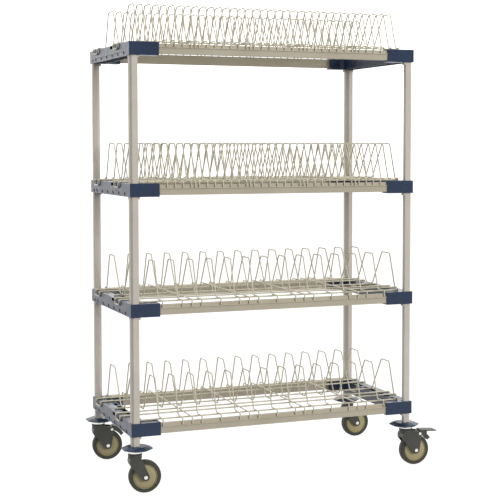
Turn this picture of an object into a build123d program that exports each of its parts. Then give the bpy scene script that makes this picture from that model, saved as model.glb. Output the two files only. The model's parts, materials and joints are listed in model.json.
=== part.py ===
from build123d import *
from math import cos, radians, sin, sqrt
import os

# Mobile drying rack: four posts on casters carry four open shelf frames, and a wire drying rack
# drops into each frame. Millimetres. The origin is on the floor under the middle of the rack,
# +X along the rack's length, -Y towards its front and +Z up.

os.makedirs("parts", exist_ok=True)

# Shelf frames
LENGTH = 1200.0             # outer length of a shelf frame
DEPTH = 600.0               # outer depth of a shelf frame
GROOVE_PITCH = 25.4         # step of the notches in the posts, which sets the shelf heights
STEPS_BETWEEN = (18, 18, 21)  # notches between neighbouring shelves, from the bottom up
FIRST_SHELF_RISE = 88.2     # lower end of the posts to the top of the bottom shelf
SHELF_NAMES = ("bottom", "lower", "upper", "top")

# Posts
POST_SIDE = 30.5            # width of an outer face, measured from the square outer corner
POST_CHAMFER = 7.0          # cut-off at the outer corner
POST_FLANK = 18.0           # width of the faces beside the slanted inner face
POST_WALL = 2.5
POST_ROUND = 2.0            # rounding of the post's long edges
POST_FIT = 0.2              # play between a post and the walls around it
GROOVE_WIDTH = 13.0
GROOVE_HEIGHT = 3.0
GROOVE_DEPTH = 1.0
CAP_THICKNESS = 2.5
CAP_SKIRT = 12.0
PLUG_FIT = 0.1
PLUG_HEIGHT = 60.0

# Wedge connectors between posts and shelf corners
WEDGE_LOW = 5.5             # thickness at the bottom of a shelf corner
WEDGE_HIGH = 4.0            # thickness at the top of a shelf corner
WEDGE_BELOW = 9.0           # part that shows under the shelf
WEDGE_DROP = 5.0            # part of the socket left free at the top

# End brackets
BRACKET_HEIGHT = 51.0
BRACKET_WALL = 4.0
INNER_WALL = 4.0
TOP_SKIN = 4.0
ARM_REACH = 72.5            # arm of the bracket past the post socket
ARM_SHOULDER = 4.5          # extra width of the arm over the post socket
ARM_FLOOR = 6.0
BEAM_SHOULDER = 13.5        # extra width of the end beam over the post socket
BAY_ROUND = 22.0            # inside corner between beam and arm
EDGE_ROUND = 1.5
RIB_COUNT = 7
RIB = 4.0
SLOT_CENTRE = -55.0         # slot in the outer face, along the depth
SLOT_LENGTH = 60.0
SLOT_HEIGHT = 12.0
SLOT_DROP = 2.0             # slot below the shelf's top
DECK_SLOT_WIDTH = 17.0      # openings along the inner side of the end beam's top
DECK_SLOT_END = 5.0         # openings short of the ribs, each side
FLANGE_HEIGHT = 5.0         # lip along the lower edge of the outer face
CHANNEL_HEIGHT = 11.0       # channel above that lip
CHANNEL_DEPTH = 2.0
GUSSET_COUNT = 6
GUSSET_WIDTH = 18.0
GUSSET_TIP = 3.0            # width left at a gusset's upper end

# Side rails
RAIL_WIDTH = 22.0
RAIL_WALL = 2.5
RAIL_FIT = 0.2
RAIL_DROP = 6.0             # rail's top below the shelf's top
LEDGE_DROP = 18.0           # ledge below the shelf's top
LIP_PROUD = 3.0             # lip at the ledge, in front of the rail's lower face
LIP_HEIGHT = 3.5
RAIL_ROUND = 1.0

# Drop-in wire racks
WIRE = 5.0                  # divider and cross wires
LONG_WIRE = 6.0             # edge, centre and hairpin wires
SEAT_GAP = 0.2              # play between a rack and the frame that it rests on
WELD_GAP = 0.02             # crossing wires meet with this much between them
HOOK_FIT = 0.6
HOOK_RECESS = 0.4           # hooks behind the lip's face
TIP_GAP = 1.5               # hook ends above the ledge
FOOT_OFFSET = 17.0          # foot of a hoop behind the edge wire
PLAIN_OVERHANG = 8.0        # end of an unhooked divider past the edge wire
HOOP_RISE = 152.0           # hoop's top wire above the shelf's top
HOOP_CENTRE = 152.0         # hoop's middle from the rack's middle, along the depth
HOOP_TOP = 70.0
VALLEY = 56.0               # flat of the dip between the two hoops
HOOK_BEND = 8.0
FOOT_BEND = 10.0
HOOP_BEND = 14.0
VALLEY_BEND = 18.0
WIDE_INSET = 48.4           # first and last divider from the frame's ends, wide-spaced racks
WIDE_COUNT = 15
WIDE_CROSS = (-4.5, -1.5, 1.5, 4.5)      # cross wires, in divider steps from the middle
CLOSE_INSET = 50.9          # the same for the close-spaced racks
CLOSE_COUNT = 35
CLOSE_CROSS = (-10.5, -3.5, 3.5, 10.5)
EDGE_OVERHANG = 5.0         # edge wire past the last divider
CENTRE_INSET = 15.0         # centre wire's end inside the frame's end
HAIRPINS = ((-151.0, -89.0), (155.0, 225.0))  # runs of the two hairpin wires, along the depth
HAIRPIN_DROP = 18.0         # hook of a hairpin below the shelf's top
HAIRPIN_BEND = 5.0          # bend over the bracket's edge
HAIRPIN_ROUND = 11.0        # rounding of the hook's lower end
HAIRPIN_GAP = 1.6           # hairpin hook off the bracket's end face

# Casters
WHEEL_DIAMETER = 125.0
TYRE_WIDTH = 32.0
TYRE_THICKNESS = 12.5
TYRE_ROUND = 6.0
TRAIL = 37.0                # axle behind the swivel axis
SWIVEL_TURNS = {            # casters turned from trailing straight to the right, in degrees
    "front_left": -6.0, "front_right": -3.0, "rear_left": -6.0, "rear_right": 0.0}
FORK_CLEARANCE = 28.0       # fork's top above the wheel
COLLAR_RADIUS = 27.0
COLLAR_HEIGHT = 18.0
FORK_PLATE = 9.0            # fork's top plate, inside the collar
CHEEK = 6.0                 # thickness of a fork cheek
CHEEK_TOP_RADIUS = 25.0
CHEEK_TOP_DROP = 31.0       # centre of the cheek's upper round below the fork's top
CHEEK_END_RADIUS = 15.0
HUB_PLAY = 0.5              # hub to cheek, each side
FRONT_WALL = 5.0
FRONT_WALL_DROP = 36.0
HUB_RADIUS = 14.0
HUB_WIDTH = 39.0
RIM_THICKNESS = 9.0
RIM_WIDTH = 30.0
WEB_WIDTH = 14.0
AXLE_DIAMETER = 10.0
AXLE_HEAD_DIAMETER = 15.0
AXLE_HEAD_HEIGHT = 4.5
RUNNING_FIT = 0.05          # radial play of every turning fit
PIN_FIT = 0.03              # radial play of the pins held in the fork
KINGPIN_DIAMETER = 16.0
KINGPIN_HEAD_DIAMETER = 24.0
KINGPIN_HEAD_HEIGHT = 6.0
SWIVEL_GAP = 0.3
RING_DIAMETER = 56.0
RING_HEIGHT = 9.5
STEM_DIAMETER = 17.0
STEM_GRIP = 60.0            # stem inside the post
BUMPER_SIDES = 8
BUMPER_RADIUS = 61.0        # to the corners, at mid height
BUMPER_TOP_RADIUS = 40.0
BUMPER_HEIGHT = 17.5
BUMPER_SHIFT = 8.0          # bumper's middle from the stem, towards the rack's middle
BUMPER_BAND = 4.0           # upright band at mid height
BUMPER_FIT = 0.2

# Brakes, on the front right and rear left casters
PIVOT_BACK = 54.0           # pedal pivot behind the swivel axis
PIVOT_DROP = 22.0           # pedal pivot below the fork's top
PIVOT_EAR = 9.5
PIN_DIAMETER = 8.0
PIN_HEAD_DIAMETER = 12.0
PIN_HEAD_HEIGHT = 2.5
PEDAL_EYE = 8.0
PEDAL_PLAY = 1.0            # pedal to cheek, each side
PEDAL_THICKNESS = 5.0
PEDAL_WIDTH = 44.0
PEDAL_START = 7.0           # pedal plate behind the pivot
PEDAL_REACH = 74.0
PEDAL_RISE = 11.5           # pedal plate above the pivot
PEDAL_FALL = 4.0            # slope of the plate down to its end
SHOE_GAP = 5.0
SHOE_THICKNESS = 15.0
SHOE_WIDTH = 30.0
SHOE_START = 34.0           # shoe around the wheel, in degrees above level
SHOE_END = 63.0

# Heights, from the floor up
axle_height = WHEEL_DIAMETER / 2
fork_top = WHEEL_DIAMETER + FORK_CLEARANCE
ring_bottom = fork_top + SWIVEL_GAP
ring_top = ring_bottom + RING_HEIGHT
post_bottom = ring_top + BUMPER_HEIGHT
shelf_tops = [post_bottom + FIRST_SHELF_RISE]
for steps in STEPS_BETWEEN:
    shelf_tops.append(shelf_tops[-1] + steps * GROOVE_PITCH)
post_top = shelf_tops[-1] - CAP_THICKNESS

# Plan sizes that the fits share
post_inset = BRACKET_WALL + POST_FIT
corner_block = post_inset + POST_SIDE + WEDGE_LOW + INNER_WALL
arm_length = corner_block + ARM_REACH
arm_width = max(corner_block + ARM_SHOULDER, BRACKET_WALL + RAIL_WIDTH + 2 * RAIL_FIT + INNER_WALL)
beam_width = corner_block + BEAM_SHOULDER
stem_inset = post_inset + (POST_CHAMFER + POST_SIDE + POST_FLANK) / 4
half_length = LENGTH / 2
half_depth = DEPTH / 2
cell_span = DEPTH - 2 * (corner_block + INNER_WALL)
cell_length = (cell_span - RIB_COUNT * RIB) / (RIB_COUNT + 1)

# Rail section: levels from the shelf's top, faces from the frame's front
rail_bottom = ARM_FLOOR - BRACKET_HEIGHT
lip_bottom = -LEDGE_DROP - LIP_HEIGHT
rail_face = BRACKET_WALL + RAIL_FIT
rail_back = rail_face + RAIL_WIDTH
lip_face = rail_face - LIP_PROUD
band_face = lip_face + HOOK_RECESS + WIRE + HOOK_FIT

# Wire places, from the shelf's top and the rack's middle
long_z = SEAT_GAP + LONG_WIRE / 2
seat_z = SEAT_GAP + LONG_WIRE + WELD_GAP + WIRE / 2
valley_z = SEAT_GAP - WELD_GAP - WIRE / 2
hook_y = half_depth - lip_face - HOOK_RECESS - WIRE / 2
edge_y = half_depth - arm_width + LONG_WIRE / 2
tip_z = TIP_GAP - LEDGE_DROP
wide_pitch = (LENGTH - 2 * WIDE_INSET) / (WIDE_COUNT - 1)
close_pitch = (LENGTH - 2 * CLOSE_INSET) / (CLOSE_COUNT - 1)

# Caster sizes
cheek_inner = HUB_WIDTH / 2 + HUB_PLAY
cheek_outer = cheek_inner + CHEEK
core_radius = WHEEL_DIAMETER / 2 - TYRE_THICKNESS
pivot_height = fork_top - PIVOT_DROP
CORNERS = {"front_left": (-1, -1), "front_right": (1, -1), "rear_left": (-1, 1), "rear_right": (1, 1)}
BRAKED = ("front_right", "rear_left")


def save(shapes, node):
    """Writes one node from a solid, or from a list of separate solids."""
    solids = shapes if isinstance(shapes, list) else [shapes]
    solids = [solid for shape in solids for solid in shape.solids()]
    export_step(solids[0] if len(solids) == 1 else Compound(children=solids), f"parts/{node}.step")


def at_corner(shape, side_x, side_y):
    """Mirrors a piece made for the front left corner to another corner."""
    if side_x > 0:
        shape = mirror(shape, Plane.YZ)
    if side_y > 0:
        shape = mirror(shape, Plane.XZ)
    return shape


def corner_polygon(points):
    """Face from points measured inwards from the square outer corner of the front left post."""
    place = (post_inset - half_length, post_inset - half_depth)
    return Pos(*place) * Polygon(*points, align=None)


def post_outline(grow=0.0):
    """Post section, with its inner faces pushed out by a wedge's thickness."""
    side = POST_SIDE + grow
    flank = POST_FLANK + grow * (sqrt(2) - 1)
    return [(POST_CHAMFER, 0), (side, 0), (side, flank), (flank, side), (0, side), (0, POST_CHAMFER)]


def wedge_thickness(z):
    """Thickness of the wedge connectors at a height below the shelf's top."""
    return WEDGE_HIGH - (WEDGE_LOW - WEDGE_HIGH) * z / BRACKET_HEIGHT


def post():
    """Hollow post for the front left corner, notched along its slanted inner face."""
    section = corner_polygon(post_outline())
    section = fillet(section.vertices(), POST_ROUND)
    hollow = offset(section, -POST_WALL)
    height = post_top - post_bottom
    body = Pos(0, 0, post_bottom) * extrude(section - hollow, height)
    middle = post_inset + (POST_SIDE + POST_FLANK) / 2
    notch = Rot(0, 0, 45) * Box(2 * GROOVE_DEPTH, GROOVE_WIDTH, GROOVE_HEIGHT)
    count = int(height / GROOVE_PITCH)
    notches = []
    for index in range(1, count + 1):
        z = shelf_tops[-1] - (index - 0.5) * GROOVE_PITCH
        notches.append(Pos(middle - half_length, middle - half_depth, z) * notch)
    return body - notches


def post_hollow(play):
    """Section that fits inside a post with some play."""
    section = fillet(corner_polygon(post_outline()).vertices(), POST_ROUND)
    return offset(section, -POST_WALL - play)


def post_cap():
    """Cap flush with the top shelf, with a skirt inside the post."""
    section = fillet(corner_polygon(post_outline()).vertices(), POST_ROUND)
    plate = Pos(0, 0, post_top) * extrude(section, CAP_THICKNESS)
    skirt = Pos(0, 0, post_top) * extrude(post_hollow(PLUG_FIT), -CAP_SKIRT)
    return plate + skirt


def post_plug():
    """Plug in the post's lower end that grips the caster's stem."""
    body = Pos(0, 0, post_bottom) * extrude(post_hollow(PLUG_FIT), PLUG_HEIGHT)
    bore = Cylinder(STEM_DIAMETER / 2 + PLUG_FIT, 3 * PLUG_HEIGHT)
    return body - Pos(stem_inset - half_length, stem_inset - half_depth, post_bottom) * bore


def wedge():
    """Tapered sleeve over the inner side of a post, for a shelf whose top is at zero."""
    faces = []
    for z in (-BRACKET_HEIGHT - WEDGE_BELOW, -WEDGE_DROP):
        grow = wedge_thickness(z)
        outer = post_outline(grow)[1:5]
        inner = post_outline()[1:5]
        points = outer + inner[::-1]
        faces.append(Pos(0, 0, z) * corner_polygon(points))
    return loft(faces, ruled=True)


def post_socket():
    """Tapered hole for a post and its wedge, through a shelf corner whose top is at zero."""
    faces = []
    for z in (-BRACKET_HEIGHT, 0):
        side = POST_SIDE + wedge_thickness(z)
        flank = POST_FLANK + wedge_thickness(z) * (sqrt(2) - 1)
        play = -POST_FIT
        points = [
            (POST_CHAMFER, play), (side, play), (side, flank),
            (flank, side), (play, side), (play, POST_CHAMFER)]
        faces.append(Pos(0, 0, z) * corner_polygon(points))
    return loft(faces, ruled=True)


def bracket_plan():
    """C-shaped plan of the left end bracket."""
    outer = Pos(arm_length / 2 - half_length, 0) * Rectangle(arm_length, DEPTH)
    bay_x = beam_width - half_length
    bay = Pos(bay_x + ARM_REACH / 2, 0) * Rectangle(ARM_REACH, DEPTH - 2 * arm_width)
    plan = outer - bay
    inside = plan.vertices().group_by(Axis.X)[1]
    return fillet(inside, BAY_ROUND)


def cell_places():
    """Middles of the pockets between the end beam's ribs, along the depth."""
    first = (cell_length - cell_span) / 2
    return [first + index * (cell_length + RIB) for index in range(RIB_COUNT + 1)]


def bracket_cells():
    """Pockets between the ribs on the underside of the end beam."""
    wall = BRACKET_WALL + CHANNEL_DEPTH
    width = beam_width - wall - INNER_WALL
    height = BRACKET_HEIGHT - TOP_SKIN
    place = Pos(wall + width / 2 - half_length, 0, -TOP_SKIN - height / 2)
    return [place * Pos(0, y, 0) * Box(width, cell_length, height) for y in cell_places()]


def deck_slots():
    """Openings in the end beam's top, one over the inner side of each pocket."""
    x = beam_width - INNER_WALL - DECK_SLOT_WIDTH / 2 - half_length
    length = cell_length - 2 * DECK_SLOT_END
    return [Pos(x, y, 0) * Box(DECK_SLOT_WIDTH, length, 3 * TOP_SKIN) for y in cell_places()]


def rail_pocket():
    """Blind pocket for a rail's tongue in the front arm."""
    width = RAIL_WIDTH + 2 * RAIL_FIT
    height = -LEDGE_DROP + RAIL_FIT - rail_bottom
    x = corner_block + ARM_REACH / 2 - half_length
    y = BRACKET_WALL + width / 2 - half_depth
    return Pos(x, y, rail_bottom + height / 2) * Box(ARM_REACH, width, height)


def outer_channel():
    """Channel along the lower part of the outer face, with tapered gussets left standing in it."""
    low = FLANGE_HEIGHT - BRACKET_HEIGHT
    high = low + CHANNEL_HEIGHT
    span = DEPTH - 2 * corner_block
    place = Pos(CHANNEL_DEPTH / 2 - half_length, 0, (low + high) / 2)
    channel = place * Box(CHANNEL_DEPTH, span, CHANNEL_HEIGHT)
    gussets = []
    for index in range(GUSSET_COUNT):
        y = span * ((index + 0.5) / GUSSET_COUNT - 0.5)
        outline = Polygon(
            (y - GUSSET_WIDTH / 2, low), (y + GUSSET_WIDTH / 2, low),
            (y + GUSSET_TIP / 2, high), (y - GUSSET_TIP / 2, high), align=None)
        gussets.append(Pos(-half_length, 0, 0) * extrude(Plane.YZ * outline, CHANNEL_DEPTH))
    return channel - gussets


def end_bracket():
    """Moulded left end of a shelf frame whose top is at zero."""
    body = extrude(bracket_plan(), -BRACKET_HEIGHT)
    body = fillet(body.faces().sort_by(Axis.Z)[-1].edges(), EDGE_ROUND)
    slot_z = -SLOT_DROP - SLOT_HEIGHT / 2
    slot_depth = 2 * (BRACKET_WALL + CHANNEL_DEPTH)
    slot = Pos(-half_length, SLOT_CENTRE, slot_z) * Box(2 * slot_depth, SLOT_LENGTH, SLOT_HEIGHT)
    socket = post_socket()
    pocket = rail_pocket()
    cuts = bracket_cells() + deck_slots() + [slot, outer_channel()]
    cuts += [socket, mirror(socket, Plane.XZ), pocket, mirror(pocket, Plane.XZ)]
    return body - cuts


def section(*corners):
    """Face in the YZ plane from points given as (place behind the frame's front, height)."""
    return Plane.YZ * Polygon(*corners, align=None)


def box_section(front, back, low, high):
    """Rectangular face in the YZ plane."""
    return section((front, low), (back, low), (back, high), (front, high))


def rail():
    """Front rail of a shelf frame whose top is at zero: a two-cell tube with a lip and end tongues."""
    tongue_half = half_length - corner_block - INNER_WALL
    main_half = half_length - arm_length - RAIL_FIT
    outline = section(
        (rail_face, rail_bottom), (rail_back, rail_bottom), (rail_back, -RAIL_DROP), (band_face, -RAIL_DROP),
        (band_face, -LEDGE_DROP), (lip_face, -LEDGE_DROP), (lip_face, lip_bottom), (rail_face, lip_bottom))
    outline = fillet(outline.vertices(), RAIL_ROUND)
    tongue = box_section(rail_face, rail_back, rail_bottom, -LEDGE_DROP)
    tongue = fillet(tongue.vertices(), RAIL_ROUND)
    cell_back = rail_back - RAIL_WALL
    lower_cell = box_section(
        rail_face + RAIL_WALL, cell_back, rail_bottom + RAIL_WALL, -LEDGE_DROP - RAIL_WALL)
    upper_cell = box_section(band_face + RAIL_WALL, cell_back, -LEDGE_DROP, -RAIL_DROP - RAIL_WALL)
    body = extrude(outline, main_half, both=True) + extrude(tongue, tongue_half, both=True)
    body -= extrude(lower_cell, half_length, both=True)
    body -= extrude(upper_cell, half_length, both=True)
    return Pos(0, -half_depth, 0) * body


def bent_wire(points, radii, diameter):
    """Round wire along straight runs joined by arcs."""
    path = FilletPolyline(*points, radius=radii)
    section = Plane(origin=path @ 0, z_dir=path % 0) * Circle(diameter / 2)
    return sweep(section, path=path)


def straight_wire(half, y, z, diameter):
    """Straight wire along the rack's length, centred."""
    return Pos(0, y, z) * (Rot(0, 90, 0) * Cylinder(diameter / 2, 2 * half))


def divider(hooked):
    """One divider in the plane X = 0, of two hoops with a dip between. A hooked one reaches over both rails
    and dips under the centre wire. A plain one lies over the end brackets and stays above them."""
    if hooked:
        start = [(hook_y, tip_z), (hook_y, seat_z)]
        bends = [HOOK_BEND]
        dip_z = valley_z
    else:
        start = [(edge_y + PLAIN_OVERHANG, seat_z)]
        bends = []
        dip_z = seat_z
    run = start + [
        (edge_y - FOOT_OFFSET, seat_z),
        (HOOP_CENTRE + HOOP_TOP / 2, HOOP_RISE),
        (HOOP_CENTRE - HOOP_TOP / 2, HOOP_RISE),
        (VALLEY / 2, dip_z)]
    bends = bends + [FOOT_BEND, HOOP_BEND, HOOP_BEND, VALLEY_BEND]
    points = [(0, -y, z) for y, z in run] + [(0, y, z) for y, z in reversed(run)]
    return bent_wire(points, bends + bends[::-1], WIRE)


def divider_places(pitch, count):
    """Places of a rack's dividers along its length."""
    return [(index - (count - 1) / 2) * pitch for index in range(count)]


def rack_dividers(pitch, count):
    """All dividers of one rack, hooked where they cross the rails and plain over the end brackets."""
    hooked = divider(True)
    plain = divider(False)
    rail_half = half_length - arm_length - WIRE
    wires = []
    for x in divider_places(pitch, count):
        wires.append(Pos(x, 0, 0) * (hooked if abs(x) < rail_half else plain))
    return wires


def rack_cross_wires(pitch, places):
    """Straight wires across the rack, hooked over both rails."""
    points = [(0, -hook_y, tip_z), (0, -hook_y, seat_z), (0, hook_y, seat_z), (0, hook_y, tip_z)]
    wire = bent_wire(points, [HOOK_BEND, HOOK_BEND], WIRE)
    return [Pos(place * pitch, 0, 0) * wire for place in places]


def hairpin(first_y, second_y):
    """Long loop of wire whose two ends hook down over the end brackets."""
    x = -half_length - HAIRPIN_GAP - LONG_WIRE / 2
    points = [
        (0, first_y, long_z), (x, first_y, long_z), (x, first_y, -HAIRPIN_DROP),
        (x, second_y, -HAIRPIN_DROP), (x, second_y, long_z), (0, second_y, long_z)]
    half = bent_wire(points, [HAIRPIN_BEND, HAIRPIN_ROUND, HAIRPIN_ROUND, HAIRPIN_BEND], LONG_WIRE)
    return half + mirror(half, Plane.YZ)


def rack_long_wires(pitch, count):
    """Edge wires, centre wire and hairpins along the rack."""
    edge_half = pitch * (count - 1) / 2 + EDGE_OVERHANG
    wires = [straight_wire(edge_half, side * edge_y, long_z, LONG_WIRE) for side in (-1, 1)]
    wires.append(straight_wire(half_length - CENTRE_INSET, 0, long_z, LONG_WIRE))
    wires += [hairpin(first_y, second_y) for first_y, second_y in HAIRPINS]
    return wires


def upright(radius, low, high):
    """Cylinder on the swivel axis between two heights."""
    return Pos(0, 0, (low + high) / 2) * Cylinder(radius, high - low)


def caster_stem():
    """Stem, swivel ring and riveted kingpin of a caster, on the swivel axis."""
    plate_bottom = fork_top - FORK_PLATE
    head_top = plate_bottom - SWIVEL_GAP
    head = upright(KINGPIN_HEAD_DIAMETER / 2, head_top - KINGPIN_HEAD_HEIGHT, head_top)
    kingpin = upright(KINGPIN_DIAMETER / 2, head_top, ring_bottom)
    ring = upright(RING_DIAMETER / 2, ring_bottom, ring_top)
    ring = chamfer(ring.edges().sort_by(Axis.Z)[:1], RING_HEIGHT / 4)
    stem = upright(STEM_DIAMETER / 2, ring_top, post_bottom + STEM_GRIP)
    return head + kingpin + ring + stem


def bumper():
    """Eight-sided donut bumper, widest at mid height, clamped between swivel ring and post. It stands off
    the stem of a left caster, which it is made around."""
    turn = Pos(BUMPER_SHIFT, 0, 0) * Rot(0, 0, 180 / BUMPER_SIDES)
    slope = (BUMPER_HEIGHT - BUMPER_BAND) / 2
    wide = turn * RegularPolygon(BUMPER_RADIUS, BUMPER_SIDES)
    narrow = turn * RegularPolygon(BUMPER_TOP_RADIUS, BUMPER_SIDES)
    low = ring_top
    band_low = low + slope
    band_high = band_low + BUMPER_BAND
    lower = loft([Pos(0, 0, low) * narrow, Pos(0, 0, band_low) * wide], ruled=True)
    band = Pos(0, 0, band_low) * extrude(wide, BUMPER_BAND)
    upper = loft([Pos(0, 0, band_high) * wide, Pos(0, 0, post_bottom) * narrow], ruled=True)
    bore = upright(STEM_DIAMETER / 2 + BUMPER_FIT, low - BUMPER_HEIGHT, post_bottom + BUMPER_HEIGHT)
    return lower + band + upper - bore


def side_hull(*rounds):
    """Face in the XZ plane around circles given as (x, z, radius)."""
    edges = []
    for x, z, radius in rounds:
        edges += (Pos(x, z) * Circle(radius)).edges()
    return Plane.XZ * make_hull(edges)


def slab(face, low, high):
    """Extrudes a face in the XZ plane between two places along the depth."""
    return Pos(0, high, 0) * extrude(face, high - low)


def across(x, z, radius, length):
    """Cylinder along the depth, centred on the caster's middle plane."""
    return Pos(x, 0, z) * (Rot(90, 0, 0) * Cylinder(radius, length))


def fork(braked):
    """Fork with a round collar and two slanted cheeks. A braked one has ears for the pedal's pin."""
    rounds = [
        (0, fork_top - CHEEK_TOP_DROP, CHEEK_TOP_RADIUS),
        (TRAIL, axle_height, CHEEK_END_RADIUS)]
    if braked:
        rounds.append((PIVOT_BACK, pivot_height, PIVOT_EAR))
    cheek_face = side_hull(*rounds)
    body = upright(COLLAR_RADIUS, fork_top - COLLAR_HEIGHT, fork_top)
    body += slab(cheek_face, cheek_inner, cheek_outer)
    body += slab(cheek_face, -cheek_outer, -cheek_inner)
    wall_low = fork_top - FRONT_WALL_DROP
    wall_high = fork_top - COLLAR_HEIGHT / 2
    wall = Pos(FRONT_WALL / 2 - CHEEK_TOP_RADIUS, 0, (wall_low + wall_high) / 2)
    wall *= Box(FRONT_WALL, 2 * cheek_outer, wall_high - wall_low)
    body += wall & slab(cheek_face, -cheek_outer, cheek_outer)
    recess_radius = KINGPIN_HEAD_DIAMETER / 2 + SWIVEL_GAP
    recess = upright(recess_radius, fork_top - 2 * COLLAR_HEIGHT, fork_top - FORK_PLATE)
    bore_radius = KINGPIN_DIAMETER / 2 + RUNNING_FIT
    bore = upright(bore_radius, fork_top - COLLAR_HEIGHT, fork_top + COLLAR_HEIGHT)
    holes = [recess, bore, across(TRAIL, axle_height, AXLE_DIAMETER / 2 + PIN_FIT, 4 * cheek_outer)]
    if braked:
        holes.append(across(PIVOT_BACK, pivot_height, PIN_DIAMETER / 2 + PIN_FIT, 4 * cheek_outer))
    return body - holes


def headed_pin(x, z, diameter, head_diameter, head_height):
    """Pin through both cheeks with a domed head at each end."""
    pin = across(x, z, diameter / 2, 2 * cheek_outer)
    for side in (-1, 1):
        place = Pos(0, side * (cheek_outer + head_height / 2), 0)
        head = place * across(x, z, head_diameter / 2, head_height)
        outer = head.faces().sort_by(Axis.Y)[0 if side < 0 else -1]
        pin += fillet(outer.edges(), head_height / 2)
    return pin


def wheel_core():
    """Wheel core: hub, web and rim around the axle."""
    bore = AXLE_DIAMETER / 2 + RUNNING_FIT
    rim_inner = core_radius - RIM_THICKNESS
    outline = [
        (bore, HUB_WIDTH / 2), (HUB_RADIUS, HUB_WIDTH / 2), (HUB_RADIUS, WEB_WIDTH / 2),
        (rim_inner, WEB_WIDTH / 2), (rim_inner, RIM_WIDTH / 2), (core_radius, RIM_WIDTH / 2)]
    points = outline + [(r, -y) for r, y in reversed(outline)]
    return wheel_turned(Polygon(*points, align=None))


def tyre():
    """Tyre with rounded shoulders, seated on the core."""
    outer = WHEEL_DIAMETER / 2
    section = Pos((core_radius + outer) / 2, 0) * Rectangle(TYRE_THICKNESS, TYRE_WIDTH)
    shoulders = section.vertices().sort_by(Axis.X)[-2:]
    return wheel_turned(fillet(shoulders, TYRE_ROUND))


def wheel_turned(section):
    """Turns a section of (radius, place along the axle) round the axle."""
    ring = revolve(section, Axis.Y)
    return Pos(TRAIL, 0, axle_height) * ring


def pedal():
    """Brake pedal: eye on the pin, foot plate above and shoe against the tyre's upper rear."""
    plate_z = pivot_height + PEDAL_RISE
    half_plate = PEDAL_THICKNESS / 2
    plate_end = (PIVOT_BACK + PEDAL_REACH, plate_z - PEDAL_FALL, half_plate)
    plate = side_hull((PIVOT_BACK + PEDAL_START, plate_z, half_plate), plate_end)
    eye_half = cheek_inner - PEDAL_PLAY
    shoe_inner = WHEEL_DIAMETER / 2 + SHOE_GAP
    shoe_middle = radians((SHOE_START + SHOE_END) / 2)
    shoe_radius = shoe_inner + SHOE_THICKNESS / 2
    shoe_x = TRAIL + shoe_radius * cos(shoe_middle)
    shoe_z = axle_height + shoe_radius * sin(shoe_middle)
    eye = (PIVOT_BACK, pivot_height, PEDAL_EYE)
    arm = side_hull(eye, (shoe_x, shoe_z, half_plate), (shoe_x, plate_z - half_plate, half_plate))
    body = slab(arm, -eye_half, eye_half) + slab(plate, -PEDAL_WIDTH / 2, PEDAL_WIDTH / 2)
    body += slab(shoe_face(shoe_inner), -SHOE_WIDTH / 2, SHOE_WIDTH / 2)
    wheel_room = across(TRAIL, axle_height, shoe_inner, 4 * cheek_outer)
    bore = across(PIVOT_BACK, pivot_height, PIN_DIAMETER / 2 + RUNNING_FIT, 4 * cheek_outer)
    return body - [wheel_room, bore]


def shoe_face(inner):
    """Ring sector of the brake shoe, in the XZ plane."""
    def point(radius, angle):
        return (TRAIL + radius * cos(radians(angle)), axle_height + radius * sin(radians(angle)))
    outer = inner + SHOE_THICKNESS
    middle = (SHOE_START + SHOE_END) / 2
    edges = [
        Line(point(inner, SHOE_START), point(outer, SHOE_START)),
        ThreePointArc(point(outer, SHOE_START), point(outer, middle), point(outer, SHOE_END)),
        Line(point(outer, SHOE_END), point(inner, SHOE_END)),
        ThreePointArc(point(inner, SHOE_END), point(inner, middle), point(inner, SHOE_START))]
    return Plane.XZ * make_face(edges)


def save_posts():
    """Posts with their caps and plugs."""
    single = post()
    cap = post_cap()
    plug = post_plug()
    for name, sides in CORNERS.items():
        save(at_corner(single, *sides), f"post_{name}")
    save([at_corner(cap, *sides) for sides in CORNERS.values()], "post_caps")
    save([at_corner(plug, *sides) for sides in CORNERS.values()], "post_plugs")


def save_shelves():
    """Wedge connectors, end brackets and rails of every shelf."""
    left = end_bracket()
    right = mirror(left, Plane.YZ)
    front = rail()
    rear = mirror(front, Plane.XZ)
    sleeve = wedge()
    sleeves = [at_corner(sleeve, *sides) for sides in CORNERS.values()]
    save([Pos(0, 0, z) * piece for z in shelf_tops for piece in sleeves], "wedge_connectors")
    for name, z in zip(SHELF_NAMES, shelf_tops):
        save(Pos(0, 0, z) * left, f"end_bracket_left_{name}")
        save(Pos(0, 0, z) * right, f"end_bracket_right_{name}")
        save(Pos(0, 0, z) * front, f"rail_front_{name}")
        save(Pos(0, 0, z) * rear, f"rail_rear_{name}")


def save_racks():
    """Wide-spaced racks on the two lower shelves and close-spaced ones on the two upper shelves."""
    wide = (wide_pitch, WIDE_COUNT, WIDE_CROSS)
    close = (close_pitch, CLOSE_COUNT, CLOSE_CROSS)
    for pitch, count, cross, shelves in ((*wide, (0, 1)), (*close, (2, 3))):
        dividers = rack_dividers(pitch, count)
        crossing = rack_cross_wires(pitch, cross)
        along = rack_long_wires(pitch, count)
        for shelf in shelves:
            place = Pos(0, 0, shelf_tops[shelf])
            name = SHELF_NAMES[shelf]
            save([place * wire for wire in dividers], f"rack_dividers_{name}")
            save([place * wire for wire in crossing], f"rack_cross_wires_{name}")
            save([place * wire for wire in along], f"rack_long_wires_{name}")


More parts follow.
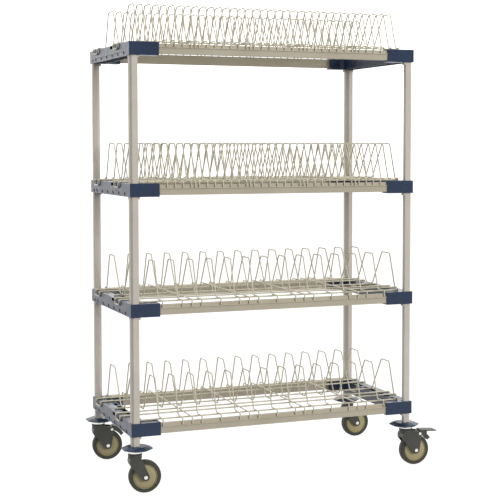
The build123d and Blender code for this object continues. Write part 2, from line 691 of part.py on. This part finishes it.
def save_casters():
    """Casters under the four posts, all trailing to the right, two of them with brakes."""
    first = Pos(stem_inset - half_length, stem_inset - half_depth, 0)
    stem = first * caster_stem()
    ring = first * bumper()
    save([at_corner(stem, *sides) for sides in CORNERS.values()], "caster_stems")
    save([at_corner(ring, *sides) for sides in CORNERS.values()], "bumpers")
    bolt = headed_pin(TRAIL, axle_height, AXLE_DIAMETER, AXLE_HEAD_DIAMETER, AXLE_HEAD_HEIGHT)
    pivot = headed_pin(PIVOT_BACK, pivot_height, PIN_DIAMETER, PIN_HEAD_DIAMETER, PIN_HEAD_HEIGHT)
    core = wheel_core()
    tread = tyre()
    lever = pedal()
    forks = {True: fork(True), False: fork(False)}
    for name, (side_x, side_y) in CORNERS.items():
        braked = name in BRAKED
        axis = Pos(side_x * (half_length - stem_inset), side_y * (half_depth - stem_inset), 0)
        place = axis * Rot(0, 0, SWIVEL_TURNS[name])
        save(place * forks[braked], f"fork_{name}")
        save(place * bolt, f"axle_{name}")
        save(place * core, f"wheel_core_{name}")
        save(place * tread, f"tyre_{name}")
        if braked:
            save(place * lever, f"brake_pedal_{name}")
            save(place * pivot, f"brake_pin_{name}")


save_posts()
save_shelves()
save_racks()
save_casters()
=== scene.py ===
import json
import math

import bmesh
import bpy
from mathutils import Matrix, Vector


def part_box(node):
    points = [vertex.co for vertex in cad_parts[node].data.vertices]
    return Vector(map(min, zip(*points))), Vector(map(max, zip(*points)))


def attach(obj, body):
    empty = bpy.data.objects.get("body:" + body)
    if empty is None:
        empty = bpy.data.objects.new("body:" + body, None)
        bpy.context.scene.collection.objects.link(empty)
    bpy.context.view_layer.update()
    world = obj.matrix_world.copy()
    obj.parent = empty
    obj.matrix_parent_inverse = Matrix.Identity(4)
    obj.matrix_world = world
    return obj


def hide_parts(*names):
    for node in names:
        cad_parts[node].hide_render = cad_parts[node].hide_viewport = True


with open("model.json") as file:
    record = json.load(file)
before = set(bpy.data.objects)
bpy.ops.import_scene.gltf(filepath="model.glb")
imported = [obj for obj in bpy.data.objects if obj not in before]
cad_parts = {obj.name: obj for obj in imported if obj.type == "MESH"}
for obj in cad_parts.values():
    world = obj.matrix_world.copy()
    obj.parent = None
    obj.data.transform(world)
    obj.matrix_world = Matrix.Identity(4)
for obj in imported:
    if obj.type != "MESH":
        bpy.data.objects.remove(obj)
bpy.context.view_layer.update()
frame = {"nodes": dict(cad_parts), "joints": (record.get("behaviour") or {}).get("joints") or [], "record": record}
nodes = frame["nodes"]

SHELVES = ("bottom", "lower", "upper", "top")
CORNERS = ("front_left", "front_right", "rear_left", "rear_right")
LENGTH, DEPTH, HEIGHT = range(3)       # axes of the rack
WHITE = (1, 1, 1, 1)

# Camera, in metres, degrees and pixels of the 500 by 500 picture
PICTURE = 500
CAMERA_PLACE = (-1.8994, -4.9481, 1.3227)
CAMERA_YAW = 22.101
CAMERA_PITCH = -3.386
FOCAL_PIXELS = 1277.4
PICTURE_CENTRE = (275.0, 222.0)
SENSOR_WIDTH = 36.0                    # millimetres, as the lens length is
FARTHEST = 100                         # the camera sees nothing beyond this


# Colour and shader helpers

USUAL_NOISE = (0.3, 0.7)               # values between which most of a noise lies


def linear(red, green, blue):
    """Scene colour from the 0 to 255 values that a picture shows, by the usual screen curve."""
    def channel(value):
        share = value / 255
        return share / 12.92 if share <= 0.04045 else ((share + 0.055) / 1.055) ** 2.4
    return (channel(red), channel(green), channel(blue), 1.0)


def ranged(tree, source, before, after):
    """Maps a value from one range to another."""
    node = tree.nodes.new("ShaderNodeMapRange")
    for name, value in zip(("From Min", "From Max", "To Min", "To Max"), (*before, *after)):
        node.inputs[name].default_value = value
    tree.links.new(source, node.inputs["Value"])
    return node.outputs["Result"]


def joined(tree, operation, first, second):
    """Two values put together by one operation."""
    node = tree.nodes.new("ShaderNodeMath")
    node.operation = operation
    tree.links.new(first, node.inputs[0])
    tree.links.new(second, node.inputs[1])
    return node.outputs["Value"]


class Shader:
    """A material with one surface shader, and short calls for the nodes that feed it."""

    def __init__(self, name, roughness, metallic=0.0):
        self.material = bpy.data.materials.new(name)
        self.material.use_nodes = True
        self.tree = self.material.node_tree
        self.surface = self.tree.nodes["Principled BSDF"]
        self.set("Roughness", roughness)
        self.set("Metallic", metallic)
        self.places = self.tree.nodes.new("ShaderNodeTexCoord").outputs["Object"]

    def set(self, socket, value):
        """Gives the surface a value that is the same all over."""
        self.surface.inputs[socket].default_value = value

    def link(self, source, target):
        self.tree.links.new(source, target)

    def stretched(self, scale):
        """Object places scaled differently along each axis."""
        node = self.tree.nodes.new("ShaderNodeMapping")
        node.inputs["Scale"].default_value = scale
        self.link(self.places, node.inputs["Vector"])
        return node.outputs["Vector"]

    def noise(self, scale, detail, places=None):
        """Soft noise over the object, with a scale in spots to the metre."""
        node = self.tree.nodes.new("ShaderNodeTexNoise")
        node.inputs["Scale"].default_value = scale
        node.inputs["Detail"].default_value = detail
        self.link(places or self.places, node.inputs["Vector"])
        return node.outputs["Fac"]

    def colour(self, source, pale, dark, low, high):
        """Base colour that goes from dark to pale as a value goes from low to high."""
        node = self.tree.nodes.new("ShaderNodeValToRGB")
        for point, place, tone in zip(node.color_ramp.elements, (low, high), (dark, pale)):
            point.position = place
            point.color = tone
        self.link(source, node.inputs["Fac"])
        self.link(node.outputs["Color"], self.surface.inputs["Base Color"])

    def roughness(self, source, low, high):
        """Roughness that goes from low to high over a noise's usual values."""
        self.link(ranged(self.tree, source, USUAL_NOISE, (low, high)), self.surface.inputs["Roughness"])

    def bump(self, source, strength, distance):
        """Fine relief, with its full height in metres as distance."""
        node = self.tree.nodes.new("ShaderNodeBump")
        node.inputs["Strength"].default_value = strength
        node.inputs["Distance"].default_value = distance
        self.link(source, node.inputs["Height"])
        self.link(node.outputs["Normal"], self.surface.inputs["Normal"])


# Materials

def moulded_plastic(name, pale, dark, roughness, grain=1400.0, specular=0.5):
    """Satin moulded plastic: soft cloudy colour, fine pebble grain and slightly rubbed patches."""
    shader = Shader(name, roughness)
    shader.set("Specular IOR Level", specular)
    clouds = shader.noise(scale=9.0, detail=5.0)
    shader.colour(clouds, pale, dark, low=0.3, high=0.7)
    rubbed = shader.noise(scale=35.0, detail=6.0)
    shader.roughness(rubbed, low=roughness - 0.06, high=roughness + 0.08)
    pebbles = shader.noise(scale=grain, detail=2.0)
    shader.bump(pebbles, strength=0.12, distance=0.0004)
    return shader.material


def coated_wire(name, pale, dark):
    """Epoxy-coated wire: warm grey with small runs and thicker spots in the coating."""
    shader = Shader(name, roughness=0.36)
    spots = shader.noise(scale=60.0, detail=5.0)
    shader.colour(spots, pale, dark, low=0.35, high=0.65)
    dulled = shader.noise(scale=140.0, detail=3.0)
    shader.roughness(dulled, low=0.3, high=0.44)
    runs = shader.noise(scale=420.0, detail=3.0)
    shader.bump(runs, strength=0.15, distance=0.0005)
    return shader.material


def painted_metal(name, pale, dark, roughness):
    """Dipped paint on pressed steel, with a faint orange-peel skin."""
    shader = Shader(name, roughness)
    patches = shader.noise(scale=28.0, detail=6.0)
    shader.colour(patches, pale, dark, low=0.32, high=0.68)
    rubbed = shader.noise(scale=90.0, detail=4.0)
    shader.roughness(rubbed, low=roughness - 0.08, high=roughness + 0.1)
    peel = shader.noise(scale=700.0, detail=2.0)
    shader.bump(peel, strength=0.18, distance=0.0005)
    return shader.material


def turned_steel(name, pale, dark):
    """Bright plated steel with fine turning marks."""
    shader = Shader(name, roughness=0.26, metallic=1.0)
    marks = shader.noise(scale=260.0, detail=4.0, places=shader.stretched(scale=(1.0, 1.0, 14.0)))
    shader.colour(marks, pale, dark, low=0.3, high=0.7)
    shader.roughness(marks, low=0.2, high=0.36)
    shader.bump(marks, strength=0.08, distance=0.0003)
    return shader.material


def tread_rubber(name, pale, dark):
    """Dusty rubber: mottled colour, high roughness and a fine grain."""
    shader = Shader(name, roughness=0.7)
    dust = shader.noise(scale=45.0, detail=8.0)
    shader.colour(dust, pale, dark, low=0.35, high=0.72)
    shader.roughness(dust, low=0.58, high=0.82)
    grain = shader.noise(scale=900.0, detail=4.0)
    shader.bump(grain, strength=0.25, distance=0.0006)
    return shader.material


def make_materials():
    """One material for each of the record's slots, from its pale and its dark colour."""
    return {
        "post_plastic": moulded_plastic(
            "post_plastic", linear(194, 187, 177), linear(186, 178, 167), roughness=0.46),
        "rail_plastic": moulded_plastic(
            "rail_plastic", linear(178, 170, 151), linear(169, 160, 141), roughness=0.44),
        "navy_plastic": moulded_plastic(
            "navy_plastic", linear(30, 48, 75), linear(24, 40, 65), roughness=0.3, specular=0.42),
        "dark_plastic": moulded_plastic(
            "dark_plastic", linear(42, 42, 44), linear(30, 30, 32), roughness=0.55),
        "navy_bumper": moulded_plastic(
            "navy_bumper", linear(38, 54, 77), linear(31, 46, 67), roughness=0.34,
            grain=900.0, specular=0.45),
        "coated_wire": coated_wire("coated_wire", linear(203, 196, 174), linear(189, 182, 159)),
        "bright_steel": turned_steel("bright_steel", linear(244, 244, 240), linear(226, 226, 222)),
        "fork_paint": painted_metal("fork_paint", linear(62, 63, 58), linear(54, 55, 50), roughness=0.45),
        "pedal_paint": painted_metal("pedal_paint", linear(68, 69, 63), linear(58, 59, 53), roughness=0.48),
        "core_plastic": moulded_plastic(
            "core_plastic", linear(166, 156, 117), linear(152, 142, 104), roughness=0.48),
        "tread_rubber": tread_rubber("tread_rubber", linear(70, 69, 59), linear(53, 52, 44)),
    }


def dress_nodes(materials):
    """Gives every CAD node the material of its slot in the record."""
    for entry in frame["record"]["subparts"]:
        mesh = nodes[entry["node"]].data
        mesh.materials.clear()
        mesh.materials.append(materials[entry["material_slot"]])


# Small pieces that the solids leave out, in metres

WELD_SIZE = (0.0031, 0.0033, 0.0021)   # half sizes of a weld where two wires cross
WELD_VARIATION = 0.12                  # share by which welds are larger or smaller than that
WELD_STEP = 2.4                        # radians from one weld to the next on the sine that varies them
WELD_DIVISIONS = 2                     # divisions of a weld's round mesh
LONG_WIRE_RADIUS = 0.003
THIN = 4 * LONG_WIRE_RADIUS            # wires narrower than this run straight along the rack
TOUCHING = 2 * LONG_WIRE_RADIUS        # largest height between the middles of two wires that touch
SAME_PLACE_DIGITS = 5                  # decimals to which two points at one place agree
SEAL_SHADE_HEIGHT = 0.0042                   # dark ring at the top of a fork's collar: a seal, and painted shade of the gap there
SEAL_SHADE_PROUD = 0.0006                    # how far the dark ring stands out from the collar
SEAL_SHADE_CLEARANCE = 0.0003                # room above the dark ring
SEAL_SHADE_STEPS = 10                        # points round the dark ring's section
TYRE_OVERLAP = 0.0035                  # tyre's side over the core's edge
TYRE_SHOULDER = 0.006                  # radius of the tyre's shoulders
TYRE_LINE = 0.0011                     # moulded line round a tyre's side
SHOULDER_STEPS = 9                     # steps round a tyre's shoulder
HUB_RADIUS = 0.014
HUB_EDGE = 0.001                       # slanted edge of the hub
FACE_SETBACK = 0.0025                  # core's face behind its lip
FACE_RISE = 0.001                      # how far the face swells towards the groove
LIP_SETBACK = 0.001                    # core's lip behind the tyre's side
LIP_WIDTH = 0.0016                     # lip round the core's edge
LIP_GROOVE = 0.0018                    # groove inside the lip
RING_STEPS = 72                        # steps round a turned piece
SHARP_ANGLE = 35                       # degrees between two faces whose edge stays sharp


def islands(name):
    """Separate wires of a node, each as a list of edges between two points."""
    mesh = nodes[name].data
    links = list(range(len(mesh.vertices)))

    def root(index):
        while links[index] != index:
            links[index] = links[links[index]]
            index = links[index]
        return index

    places = {}
    for vertex in mesh.vertices:
        key = tuple(round(value, SAME_PLACE_DIGITS) for value in vertex.co)
        links[root(vertex.index)] = root(places.setdefault(key, vertex.index))
    for edge in mesh.edges:
        links[root(edge.vertices[0])] = root(edge.vertices[1])
    wires = {}
    for edge in mesh.edges:
        ends = [mesh.vertices[index].co for index in edge.vertices]
        wires.setdefault(root(edge.vertices[0]), []).append(ends)
    return list(wires.values())


def span(wire, axis):
    """Lowest and highest value of a wire along one axis."""
    values = [end[axis] for edge in wire for end in edge]
    return min(values), max(values)


def middle(wire, axis):
    """Value halfway between a wire's lowest and highest along one axis."""
    return sum(span(wire, axis)) / 2


def new_piece(name, mesh_builder, body, material):
    """Finishes a bmesh as a smooth piece that rides on a body."""
    mesh = bpy.data.meshes.new(name)
    mesh_builder.to_mesh(mesh)
    mesh_builder.free()
    mesh.shade_smooth()
    mesh.set_sharp_from_angle(angle=math.radians(SHARP_ANGLE))
    mesh.materials.append(material)
    piece = bpy.data.objects.new(name, mesh)
    bpy.context.scene.collection.objects.link(piece)
    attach(piece, body)
    return piece


def long_runs(shelf):
    """Straight runs along a rack as (place along the depth, height, half length)."""
    runs = []
    for wire in islands(f"rack_long_wires_{shelf}"):
        front, back = span(wire, DEPTH)
        half = span(wire, LENGTH)[1]
        if back - front < THIN:
            runs.append((middle(wire, DEPTH), middle(wire, HEIGHT), half))
        else:
            height = span(wire, HEIGHT)[1] - LONG_WIRE_RADIUS
            runs.append((front + LONG_WIRE_RADIUS, height, half))
            runs.append((back - LONG_WIRE_RADIUS, height, half))
    return runs


def height_at(wire, depth):
    """Height of a crossing wire's middle at a place along the depth, or None where it doesn't reach."""
    heights = []
    for start, end in wire:
        if (start.y - depth) * (end.y - depth) < 0:
            share = (depth - start.y) / (end.y - start.y)
            heights.append(start.z + share * (end.z - start.z))
    return (min(heights) + max(heights)) / 2 if heights else None


def rack_welds(shelf, materials):
    """Small coated weld beads wherever the dividers and cross wires lie on the long wires."""
    beads = bmesh.new()
    runs = long_runs(shelf)
    count = 0
    for wire in islands(f"rack_dividers_{shelf}") + islands(f"rack_cross_wires_{shelf}"):
        x = middle(wire, LENGTH)
        for depth, height, half in runs:
            crossing = height_at(wire, depth)
            if crossing is None or abs(crossing - height) > TOUCHING or abs(x) > half:
                continue
            count += 1
            size = 1 + WELD_VARIATION * math.sin(WELD_STEP * count)
            place = Matrix.Translation((x, depth, (crossing + height) / 2))
            shape = Matrix.Diagonal((*[size * value for value in WELD_SIZE], 1))
            bmesh.ops.create_icosphere(beads, subdivisions=WELD_DIVISIONS, radius=1, matrix=place @ shape)
    new_piece(f"weld_beads_{shelf}", beads, f"rack_{shelf}", materials["coated_wire"])


def lathe(profile, centre, axis):
    """Closed ring turned from (radius, height) points round an axis through a centre."""
    ring = bmesh.new()
    turn = Vector((0, 0, 1)).rotation_difference(Vector(axis)).to_matrix().to_4x4()
    place = Matrix.Translation(centre) @ turn
    loops = []
    for step in range(RING_STEPS):
        angle = 2 * math.pi * step / RING_STEPS
        points = [(r * math.cos(angle), r * math.sin(angle), h) for r, h in profile]
        loops.append([ring.verts.new(place @ Vector(point)) for point in points])
    count = len(profile)
    for step in range(RING_STEPS):
        here = loops[step]
        there = loops[(step + 1) % RING_STEPS]
        for index in range(count):
            after = (index + 1) % count
            ring.faces.new((here[index], there[index], there[after], here[after]))
    bmesh.ops.recalc_face_normals(ring, faces=ring.faces)
    return ring


def oval(radius, height, across, up):
    """Oval ring section round a place, as (radius, height) points."""
    turns = [2 * math.pi * step / SEAL_SHADE_STEPS for step in range(SEAL_SHADE_STEPS)]
    return [(radius + across * math.cos(turn), height + up * math.sin(turn)) for turn in turns]


def joint_line(name):
    """Place and direction of a joint's axis."""
    joint = next(joint for joint in frame["joints"] if joint["name"] == name)
    return Vector(joint["pos_m"]), Vector(joint["axis"])


def caster_seal_and_gap_shade(corner, materials):
    """Dark ring round the top of the fork's collar, under the bright swivel ring: a seal, and painted shade of the
    gap between them.
    """
    place, axis = joint_line(f"swivel_{corner}")
    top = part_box(f"fork_{corner}")[1][HEIGHT]
    points = [vertex.co - place for vertex in nodes[f"fork_{corner}"].data.vertices]
    rim = [point for point in points if point.z > top - place.z - SEAL_SHADE_CLEARANCE]
    collar = max(point.xy.length for point in rim)
    seal_shade_middle = top - SEAL_SHADE_CLEARANCE - SEAL_SHADE_HEIGHT / 2
    profile = oval(collar - SEAL_SHADE_PROUD, seal_shade_middle, 2 * SEAL_SHADE_PROUD, SEAL_SHADE_HEIGHT / 2)
    ring = lathe(profile, (place.x, place.y, 0), axis)
    # the dark plastic stands for a seal and also paints the shade of the gap under the swivel ring
    new_piece(f"swivel_seal_and_gap_shade_{corner}", ring, f"caster_{corner}", materials["dark_plastic"])


def turned_size(name, place, axis):
    """Smallest and largest radius of a turned node, and its half width along the axis."""
    points = [vertex.co - place for vertex in nodes[name].data.vertices]
    along = [point.dot(axis) for point in points]
    radii = [(point - share * axis).length for point, share in zip(points, along)]
    return min(radii), max(radii), max(along)


def both_sides(outline):
    """Closed section from the outline of one side, given as (radius, place along the axle)."""
    return outline + [(radius, -place) for radius, place in reversed(outline)]


def wheel_core(corner, materials):
    """Moulded core with a plain face, a groove and a lip round its edge, in place of the plain solid."""
    node = f"wheel_core_{corner}"
    place, axis = joint_line(f"roll_{corner}")
    bore, edge, hub_half = turned_size(node, place, axis)
    tyre_half = turned_size(f"tyre_{corner}", place, axis)[2]
    edge -= TYRE_OVERLAP
    lip = tyre_half - LIP_SETBACK
    face = lip - FACE_SETBACK
    groove_end = edge - LIP_WIDTH
    groove_start = groove_end - LIP_GROOVE
    groove_floor = face - LIP_GROOVE / 2
    outline = [
        (bore, hub_half),
        (HUB_RADIUS - HUB_EDGE, hub_half),
        (HUB_RADIUS, hub_half - HUB_EDGE),
        (HUB_RADIUS + HUB_EDGE, face),
        (groove_start - LIP_GROOVE, face + FACE_RISE),
        (groove_start, face),
        (groove_start + LIP_GROOVE / 3, groove_floor),
        (groove_end - LIP_GROOVE / 3, groove_floor),
        (groove_end, lip),
        (edge, lip),
    ]
    piece = new_piece(
        f"core_{corner}", lathe(both_sides(outline), place, axis), f"wheel_{corner}",
        materials["core_plastic"])
    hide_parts(node)


def tyre(corner, materials):
    """Tyre with round shoulders and a moulded line on each side, in place of the plain solid."""
    node = f"tyre_{corner}"
    place, axis = joint_line(f"roll_{corner}")
    inner, outer, half = turned_size(node, place, axis)
    inner -= TYRE_OVERLAP
    side = half - TYRE_LINE / 2
    line = (inner + outer - TYRE_SHOULDER) / 2
    outline = [
        (inner, side - TYRE_LINE),
        (inner + TYRE_LINE, side),
        (line - TYRE_LINE, side),
        (line, half),
        (line + TYRE_LINE, side),
    ]
    for step in range(SHOULDER_STEPS + 1):
        turn = math.radians(90 * step / SHOULDER_STEPS)
        radius = outer - TYRE_SHOULDER * (1 - math.sin(turn))
        outline.append((radius, side - TYRE_SHOULDER * (1 - math.cos(turn))))
    piece = new_piece(
        f"tread_{corner}", lathe(both_sides(outline), place, axis), f"wheel_{corner}",
        materials["tread_rubber"])
    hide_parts(node)


def add_details(materials):
    """All the pieces that the scene models itself."""
    for shelf in SHELVES:
        rack_welds(shelf, materials)
    for corner in CORNERS:
        caster_seal_and_gap_shade(corner, materials)
        wheel_core(corner, materials)
        tyre(corner, materials)


# Studio, in metres and watts

FLOOR_SIZE = 60
FLOOR_PALE = (104, 104, 104)
FLOOR_DARK = (96, 96, 96)
FLOOR_GLOW = 0.92                      # floor's own white, which leaves only a faint shadow
BACK_SPAN = (0.0, 0.8)                 # directions along the depth over which the surroundings brighten
BACK_LIGHT = (0.66, 1.8)               # surroundings in front of the rack and behind it
UNDER_SPAN = (-0.3, 0.1)               # directions along the height over which they brighten
UNDER_LIGHT = (0.25, 1.0)              # share of them that comes from below and from above
KEY_LAMP = {"place": (11.0, -15.0, 6.0), "size": 8.0, "power": 2500}
TOP_LAMP = {"place": (0.5, -0.5, 5.0), "size": 4.0, "power": 40}
LAMP_AIM = (0, 0, 0.9)                 # about the middle of the rack


def studio_floor():
    """White floor far larger than the rack."""
    bpy.ops.mesh.primitive_plane_add(size=FLOOR_SIZE, location=(0, 0, 0))
    floor = bpy.context.object
    floor.name = "studio_floor"
    shader = Shader("studio_floor", roughness=0.9)
    patches = shader.noise(scale=3.0, detail=4.0)
    shader.colour(patches, linear(*FLOOR_PALE), linear(*FLOOR_DARK), low=0.3, high=0.7)
    shader.set("Emission Color", WHITE)
    shader.set("Emission Strength", FLOOR_GLOW)
    floor.data.materials.append(shader.material)
    floor.visible_diffuse = False


def studio_surroundings():
    """White backdrop, and surroundings that are brighter behind the rack than before it and darker below."""
    world = bpy.data.worlds.new("studio")
    bpy.context.scene.world = world
    world.use_nodes = True
    tree = world.node_tree
    directions = tree.nodes.new("ShaderNodeSeparateXYZ")
    tree.links.new(tree.nodes.new("ShaderNodeTexCoord").outputs["Generated"], directions.inputs["Vector"])
    back = ranged(tree, directions.outputs["Y"], BACK_SPAN, BACK_LIGHT)
    under = ranged(tree, directions.outputs["Z"], UNDER_SPAN, UNDER_LIGHT)
    surroundings = joined(tree, "MULTIPLY", back, under)
    backdrop = tree.nodes.new("ShaderNodeLightPath").outputs["Is Camera Ray"]
    background = tree.nodes["Background"]
    background.inputs["Color"].default_value = WHITE
    tree.links.new(joined(tree, "MAXIMUM", backdrop, surroundings), background.inputs["Strength"])


def lamp(name, place, size, power):
    """Square soft light aimed at the middle of the rack, which leaves no bright patch on the glossy parts."""
    data = bpy.data.lights.new(name, "AREA")
    data.size = size
    data.energy = power
    light = bpy.data.objects.new(name, data)
    light.location = place
    aim = Vector(LAMP_AIM) - Vector(place)
    light.rotation_euler = aim.to_track_quat("-Z", "Y").to_euler()
    light.visible_glossy = False
    bpy.context.scene.collection.objects.link(light)


def studio_lamps():
    """Soft key from the front right, and a weak light from above."""
    lamp("key", **KEY_LAMP)
    lamp("top", **TOP_LAMP)


def photo_camera():
    """Camera at the photograph's angle."""
    data = bpy.data.cameras.new("photo_camera")
    data.sensor_width = SENSOR_WIDTH
    data.lens = FOCAL_PIXELS * SENSOR_WIDTH / PICTURE
    data.shift_x = (PICTURE / 2 - PICTURE_CENTRE[0]) / PICTURE
    data.shift_y = (PICTURE_CENTRE[1] - PICTURE / 2) / PICTURE
    data.clip_end = FARTHEST
    camera = bpy.data.objects.new("photo_camera", data)
    turn = Matrix.Rotation(math.radians(-CAMERA_YAW), 4, "Z")
    tilt = Matrix.Rotation(math.radians(90 + CAMERA_PITCH), 4, "X")
    camera.matrix_world = Matrix.Translation(CAMERA_PLACE) @ turn @ tilt
    bpy.context.scene.collection.objects.link(camera)
    bpy.context.scene.camera = camera


bpy.context.scene.view_settings.view_transform = "Standard"
finishes = make_materials()
dress_nodes(finishes)
add_details(finishes)
studio_floor()
studio_surroundings()
studio_lamps()
photo_camera()
